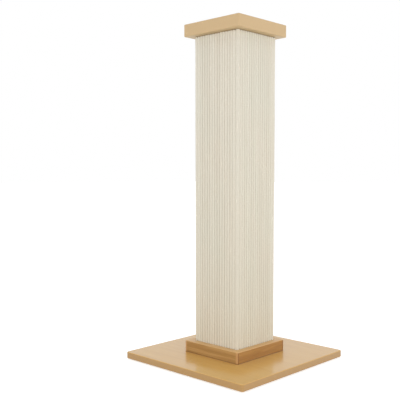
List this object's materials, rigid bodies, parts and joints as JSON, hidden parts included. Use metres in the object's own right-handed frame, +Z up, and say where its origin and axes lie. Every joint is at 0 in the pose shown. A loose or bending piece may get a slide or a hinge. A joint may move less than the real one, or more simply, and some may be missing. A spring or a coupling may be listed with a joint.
{
  "type": "cat scratching post",
  "caption": "Tall square scratching post wrapped in ribbed woven sisal, in a mitred plinth on a flat square base, with a square cap board.",
  "frame": {"origin": "middle of the square footprint, on the floor under the foot pads", "axes": "+Z up the post, -Y to the front, +X to the right, both square to the base board's sides"},
  "size_m": [0.38, 0.38, 0.813],
  "materials": {
    "golden_laminate": "satin gloss light oak foil",
    "pale_laminate": "satin light oak foil",
    "plinth_oak": "satin mid oak foil with the grain along the rail",
    "fibreboard": "raw sanded board",
    "beech": "raw turned dowel",
    "sisal": "ribbed woven natural sisal",
    "foot_rubber": "matt foam rubber",
    "zinc_steel": "bright zinc plate"
  },
  "bodies": {
    "root": {"base_board": "golden_laminate", "cap_board": "pale_laminate", "foot_pad_front_left": "foot_rubber", "foot_pad_front_right": "foot_rubber", "foot_pad_back_right": "foot_rubber", "foot_pad_back_left": "foot_rubber", "plinth_rail_front": "plinth_oak", "plinth_rail_right": "plinth_oak", "plinth_rail_back": "plinth_oak", "plinth_rail_left": "plinth_oak", "core_panel_front": "fibreboard", "core_panel_right": "fibreboard", "core_panel_back": "fibreboard", "core_panel_left": "fibreboard", "bottom_block": "fibreboard", "middle_block": "fibreboard", "top_block": "fibreboard", "sisal_sleeve": "sisal", "cap_dowels": "beech", "base_bolts": "zinc_steel", "lock_washers": "zinc_steel", "flat_washers": "zinc_steel", "tee_nuts": "zinc_steel"}
  },
  "joints": []
}
